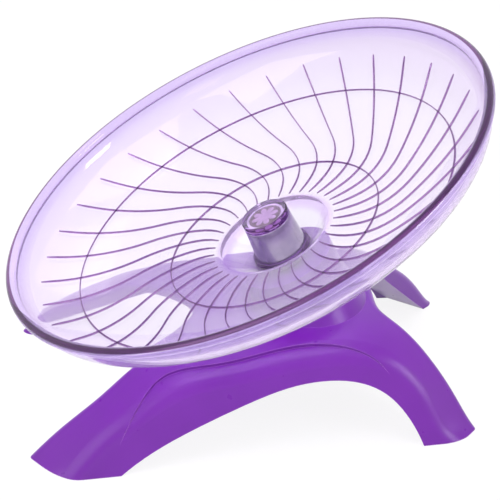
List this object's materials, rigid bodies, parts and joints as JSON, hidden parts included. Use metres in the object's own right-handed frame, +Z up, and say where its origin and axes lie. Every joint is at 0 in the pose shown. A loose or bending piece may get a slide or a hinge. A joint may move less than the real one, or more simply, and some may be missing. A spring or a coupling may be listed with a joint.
{
  "type": "exercise wheel",
  "caption": "Clear saucer-shaped running wheel for a small pet, with S-curved traction ridges, spinning on a tilted bearing axle above a four-legged arched stand.",
  "frame": {"origin": "on the floor, under the middle of the saucer's rim", "axes": "+Z up, +X towards the saucer's high side, +Y towards the side away from the viewer"},
  "size_m": [0.1648, 0.18, 0.1195],
  "materials": {
    "saucer_clear": "clear, lightly tinted, polished",
    "stand_purple": "glossy, slightly translucent moulding",
    "hub_pearl": "pearl, satin gloss",
    "lens_clear": "clear, tinted, polished",
    "badge_inlay": "satin",
    "axle_steel": "turned",
    "nut_steel": "zinc plated",
    "bearing_steel": "ground",
    "ball_chrome": "polished",
    "cage_steel": "pressed",
    "shield_steel": "pressed",
    "spacer_steel": "turned",
    "washer_steel": "stamped",
    "spring_steel": "blackened spring steel"
  },
  "bodies": {
    "stand": {"stand": "stand_purple", "upper_bearing_outer_ring": "bearing_steel", "upper_bearing_top_shield": "shield_steel", "upper_bearing_bottom_shield": "shield_steel", "lower_bearing_outer_ring": "bearing_steel", "lower_bearing_top_shield": "shield_steel", "lower_bearing_bottom_shield": "shield_steel"},
    "saucer": {"dish": "saucer_clear", "hub_cap": "hub_pearl", "hub_nut": "nut_steel", "badge_disc": "badge_inlay", "hub_lens": "lens_clear", "axle": "axle_steel", "upper_bearing_inner_ring": "bearing_steel", "lower_bearing_inner_ring": "bearing_steel", "bearing_spacer": "spacer_steel", "thrust_washer": "washer_steel", "circlip": "spring_steel"},
    "upper_cage": {"upper_bearing_cage": "cage_steel", "upper_bearing_balls": "ball_chrome"},
    "lower_cage": {"lower_bearing_cage": "cage_steel", "lower_bearing_balls": "ball_chrome"}
  },
  "joints": [
    {"name": "saucer_spin", "type": "hinge", "parent": "stand", "child": "saucer", "pos_m": [0, 0, 0.0818], "axis": [-0.4067, 0, 0.9135], "continuous": true},
    {"name": "upper_cage_spin", "type": "hinge", "parent": "stand", "child": "upper_cage", "pos_m": [0, 0, 0.0818], "axis": [-0.4067, 0, 0.9135], "continuous": true},
    {"name": "lower_cage_spin", "type": "hinge", "parent": "stand", "child": "lower_cage", "pos_m": [0, 0, 0.0818], "axis": [-0.4067, 0, 0.9135], "continuous": true}
  ],
  "couplings": [
    {"joint": "upper_cage_spin", "follows": "saucer_spin", "ratio": 0.368},
    {"joint": "lower_cage_spin", "follows": "saucer_spin", "ratio": 0.368}
  ]
}
